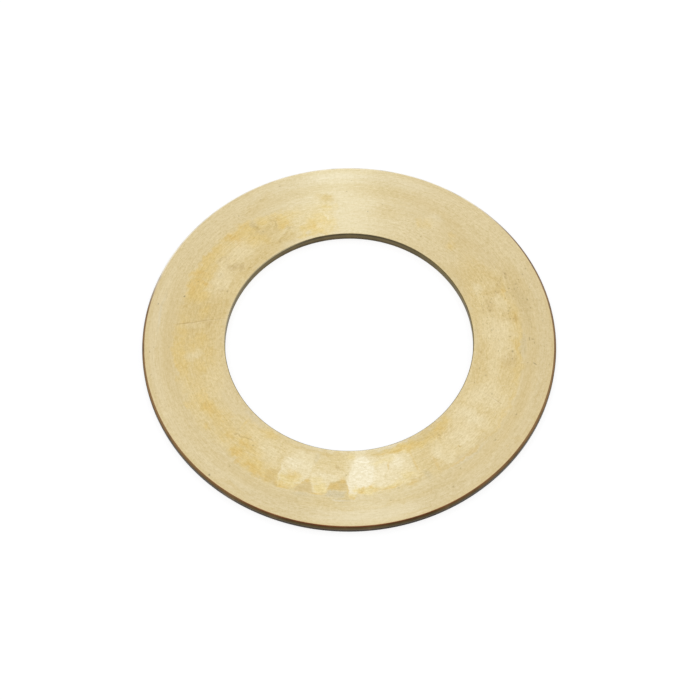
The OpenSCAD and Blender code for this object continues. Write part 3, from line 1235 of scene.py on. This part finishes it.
@dataclass
class WasherRing:
    """The turned ring. Sizes are in millimetres.

    corner_round is how much of each side the round of a corner takes, at most round_share of the
    shorter one. The lathe's marks are mark_depth deep and about mark_pitch apart, with finer ones
    between them, and each face reads them from its own place in the noise.
    """

    rim_radius: float = RIM_RADIUS
    bore_radius: float = BORE_RADIUS
    thickness: float = THICKNESS
    rim_break: float = RIM_BREAK
    bore_break: float = BORE_BREAK
    corner_round: float = 0.05
    round_share: float = 0.4
    round_steps: int = 3
    face_steps: int = 64
    wall_steps: int = 4
    rim_break_steps: int = 3
    bore_break_steps: int = 2
    segments: int = 480
    mark_depth: float = 0.006
    mark_pitch: float = 1.1
    upper_place: float = 3.7
    lower_place: float = 9.1
    fine_place: float = 5.0
    fine_marks: float = 2.7
    fine_share: float = 0.5

    def corners(self) -> list[Corner]:
        """The section's corners, from the lower face's inner corner outwards and round.

        Returns:
            The eight corners.
        """
        top = self.thickness
        rim, bore = self.rim_radius, self.bore_radius
        face_rim, face_bore = rim - self.rim_break, bore + self.bore_break
        upper, lower = Zone.UPPER_FACE, Zone.LOWER_FACE
        return [
            Corner(face_bore, 0.0, lower, lower, self.face_steps),
            Corner(face_rim, 0.0, lower, Zone.RIM, self.rim_break_steps),
            Corner(rim, self.rim_break, Zone.RIM, Zone.RIM, self.wall_steps),
            Corner(rim, top - self.rim_break, Zone.RIM, Zone.RIM, self.rim_break_steps),
            Corner(face_rim, top, upper, upper, self.face_steps),
            Corner(face_bore, top, upper, Zone.BORE, self.bore_break_steps),
            Corner(bore, top - self.bore_break, Zone.BORE, Zone.BORE, self.wall_steps),
            Corner(bore, self.bore_break, Zone.BORE, Zone.BORE, self.bore_break_steps),
        ]

    def rounded(self, before: Vector, at: Vector, after: Vector) -> list[Vector]:
        """Rounds one corner of the section.

        Args:
            before: the corner before it.
            at: the corner.
            after: the corner after it.

        Returns:
            The points of its round.
        """
        back = (before - at).normalized()
        ahead = (after - at).normalized()
        half = back.angle(ahead) / 2
        size = min(self.corner_round, self.round_share * min((before - at).length, (after - at).length))
        start = at + back * size
        end = at + ahead * size
        centre = at + (back + ahead).normalized() * (size / math.cos(half))
        reach = (start - centre).length
        points = []
        for step in range(self.round_steps + 1):
            chord = start.lerp(end, step / self.round_steps)
            points.append(centre + (chord - centre).normalized() * reach)
        return points

    def section(self) -> tuple[list[Vector], list[Zone]]:
        """The closed section with its corners rounded and its marks cut.

        Returns:
            The points, and for each the zone of the strip that runs from it to the next.
        """
        corners = self.corners()
        spots = [Vector((c.radius, c.height)) for c in corners]
        count = len(corners)
        rounds = [self.rounded(spots[i - 1], spots[i], spots[(i + 1) % count]) for i in range(count)]
        points: list[Vector] = []
        zones: list[Zone] = []
        for i, corner in enumerate(corners):
            for point in rounds[i][:-1]:
                points.append(point)
                zones.append(corner.round_zone)
            start, end = rounds[i][-1], rounds[(i + 1) % count][0]
            for step in range(corner.side_steps):
                point = start.lerp(end, step / corner.side_steps)
                if step and corner.side_zone in (Zone.UPPER_FACE, Zone.LOWER_FACE):
                    point.y += self.cut(point.x, corner.side_zone)
                points.append(point)
                zones.append(corner.side_zone)
        return points, zones

    def cut(self, radius: float, face: Zone) -> float:
        """How far the lathe's marks go into a face at a radius.

        Args:
            radius: the radius in millimetres.
            face: the face that is cut.

        Returns:
            The change in height, downwards on the upper face and upwards on the lower one.
        """
        place = self.upper_place if face is Zone.UPPER_FACE else self.lower_place
        marks = radius / self.mark_pitch
        level = noise.noise(Vector((marks, place, 0.0)))
        level += self.fine_share * noise.noise(Vector((marks * self.fine_marks, place, self.fine_place)))
        depth = self.mark_depth * min(max((1 + level) / 2, 0.0), 1.0)
        return -depth if face is Zone.UPPER_FACE else depth

    def build(self) -> bpy.types.Object:
        """Builds the ring's mesh by turning its section round the axis.

        Returns:
            The ring, not yet dressed.
        """
        points, zones = self.section()
        rows = len(points)
        vertices = []
        for segment in range(self.segments):
            angle = math.tau * segment / self.segments
            east, north = math.cos(angle), math.sin(angle)
            vertices += [(p.x * east * MM, p.x * north * MM, p.y * MM) for p in points]
        faces = []
        places = []
        for segment in range(self.segments):
            here = segment * rows
            there = (segment + 1) % self.segments * rows
            for row in range(rows):
                ahead = (row + 1) % rows
                faces.append((here + row, there + row, there + ahead, here + ahead))
                places.append(zones[row].value)
        mesh = bpy.data.meshes.new("washer_ring")
        mesh.from_pydata(vertices, [], faces)
        mesh.polygons.foreach_set("material_index", places)
        mesh.polygons.foreach_set("use_smooth", [True] * len(faces))
        mesh.validate()
        mesh.update()
        ring = bpy.data.objects.new("washer_ring", mesh)
        bpy.context.collection.objects.link(ring)
        return ring

    def dress(self, ring: bpy.types.Object) -> None:
        """Gives the ring its finishes and keeps its faces flat to the light.

        Args:
            ring: the ring to dress.
        """
        for zone in Zone:
            ring.data.materials.append(FINISHES[zone].make())
        weighted = ring.modifiers.new("flat_faces", "WEIGHTED_NORMAL")
        weighted.mode = "FACE_AREA"
        weighted.weight = 100

    def mount(self, ring: bpy.types.Object) -> None:
        """Puts the ring in the frame in place of the CAD washer.

        Args:
            ring: the ring.
        """
        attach(ring, "root")
        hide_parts("washer")


# The studio

WHITE = (1.0, 1.0, 1.0, 1.0)


@dataclass
class Studio:
    """A plain pale floor, an even sky and a long soft lamp behind the washer. Sizes are in metres."""

    floor_half: float = 3.0
    floor_drop: float = 0.00003
    floor_tone: float = 0.36
    floor_lift: float = 0.82
    sky_level: float = 0.62
    lamp_place: tuple[float, float, float] = (-0.02, 0.93, 0.755)
    lamp_width: float = 0.20
    lamp_length: float = 0.40
    lamp_watts: float = 0.85
    lamp_colour: tuple[float, float, float] = (0.43, 0.61, 1.0)

    def seen(self, bench: Bench) -> Signal:
        """1 for rays from the camera and for reflections, else 0.

        Args:
            bench: the bench that adds the nodes.

        Returns:
            The level.
        """
        kinds = ("Is Camera Ray", "Is Glossy Ray", "Is Transmission Ray")
        camera, glossy, through = (bench.node("ShaderNodeLightPath", output=kind) for kind in kinds)
        return camera.either(glossy).either(through)

    def build_floor(self) -> bpy.types.Object:
        """Lays the floor just under the washer.

        Returns:
            The floor.
        """
        reach = self.floor_half
        corners = [(-reach, -reach), (reach, -reach), (reach, reach), (-reach, reach)]
        mesh = bpy.data.meshes.new("floor")
        mesh.from_pydata([(x, y, -self.floor_drop) for x, y in corners], [], [(0, 1, 2, 3)])
        floor = bpy.data.objects.new("floor", mesh)
        bpy.context.collection.objects.link(floor)
        material = bpy.data.materials.new("floor")
        material.use_nodes = True
        material.node_tree.nodes.clear()
        bench = Bench(material.node_tree)
        tone = (self.floor_tone, self.floor_tone, self.floor_tone, 1.0)
        matt = bench.node("ShaderNodeBsdfDiffuse", inputs={"Color": tone})
        glow = bench.node("ShaderNodeEmission", inputs={"Strength": self.seen(bench) * self.floor_lift})
        bench.end("ShaderNodeOutputMaterial", bench.node("ShaderNodeAddShader", inputs={0: matt, 1: glow}))
        mesh.materials.append(material)
        return floor

    def build_sky(self) -> bpy.types.World:
        """Makes the even light from all round, white where it is seen.

        Returns:
            The world.
        """
        world = bpy.data.worlds.new("studio")
        world.use_nodes = True
        world.node_tree.nodes.clear()
        bench = Bench(world.node_tree)
        soft = bench.node("ShaderNodeBackground", inputs={"Color": WHITE, "Strength": self.sky_level})
        plain = bench.node("ShaderNodeBackground", inputs={"Color": WHITE, "Strength": 1.0})
        sky = bench.node("ShaderNodeMixShader", inputs={0: self.seen(bench), 1: soft, 2: plain})
        bench.end("ShaderNodeOutputWorld", sky)
        bpy.context.scene.world = world
        return world

    def build_lamp(self) -> bpy.types.Object:
        """Hangs the long lamp.

        Returns:
            The lamp.
        """
        data = bpy.data.lights.new("strip_lamp", "AREA")
        data.shape = "RECTANGLE"
        data.size = self.lamp_width
        data.size_y = self.lamp_length
        data.energy = self.lamp_watts
        data.color = self.lamp_colour
        lamp = bpy.data.objects.new("strip_lamp", data)
        lamp.location = self.lamp_place
        lamp.rotation_euler = (-lamp.location).to_track_quat("-Z", "Y").to_euler()
        lamp.visible_camera = False
        bpy.context.collection.objects.link(lamp)
        return lamp


@dataclass
class PhotoCamera:
    """The camera that took the photograph, as a fit to the washer's edges gives it.

    elevation and roll are in degrees, distance in metres and aim_height in millimetres. centre_px is
    the place in the photograph of the point that the camera looks at.
    """

    elevation: float = 60.73
    distance: float = 0.5261
    focal_px: float = 2170.1
    frame_px: float = 700.0
    roll: float = -0.659
    centre_px: tuple[float, float] = (349.13, 343.95)
    aim_height: float = 0.12
    sensor_mm: float = 36.0
    nearest: float = 0.01

    def build(self) -> bpy.types.Object:
        """Sets up the camera.

        Returns:
            The camera.
        """
        data = bpy.data.cameras.new("camera")
        data.sensor_width = self.sensor_mm
        data.lens = self.focal_px * self.sensor_mm / self.frame_px
        data.shift_x = (self.frame_px / 2 - self.centre_px[0]) / self.frame_px
        data.shift_y = (self.centre_px[1] - self.frame_px / 2) / self.frame_px
        data.clip_start = self.nearest
        camera = bpy.data.objects.new("camera", data)
        lift = math.radians(self.elevation)
        back = Vector((0.0, -math.cos(lift), math.sin(lift)))
        camera.location = back * self.distance + Vector((0.0, 0.0, self.aim_height * MM))
        tilt = (-back).to_track_quat("-Z", "Y").to_matrix().to_4x4()
        camera.rotation_euler = (tilt @ Matrix.Rotation(math.radians(self.roll), 4, "Z")).to_euler()
        bpy.context.collection.objects.link(camera)
        bpy.context.scene.camera = camera
        return camera


def main() -> None:
    """Builds the washer, then the studio and the camera."""
    logging.basicConfig(level=logging.INFO, format="%(name)s: %(message)s")
    washer = WasherRing()
    ring = washer.build()
    washer.dress(ring)
    washer.mount(ring)
    log.info("%s: %d faces", ring.name, len(ring.data.polygons))
    studio = Studio()
    for made in (studio.build_floor(), studio.build_sky(), studio.build_lamp()):
        log.info("studio: %s", made.name)
    camera = PhotoCamera().build()
    log.info("%s: %.1f mm lens", camera.name, camera.data.lens)
    bpy.context.scene.view_settings.view_transform = "Standard"


if __name__ == "__main__":
    main()
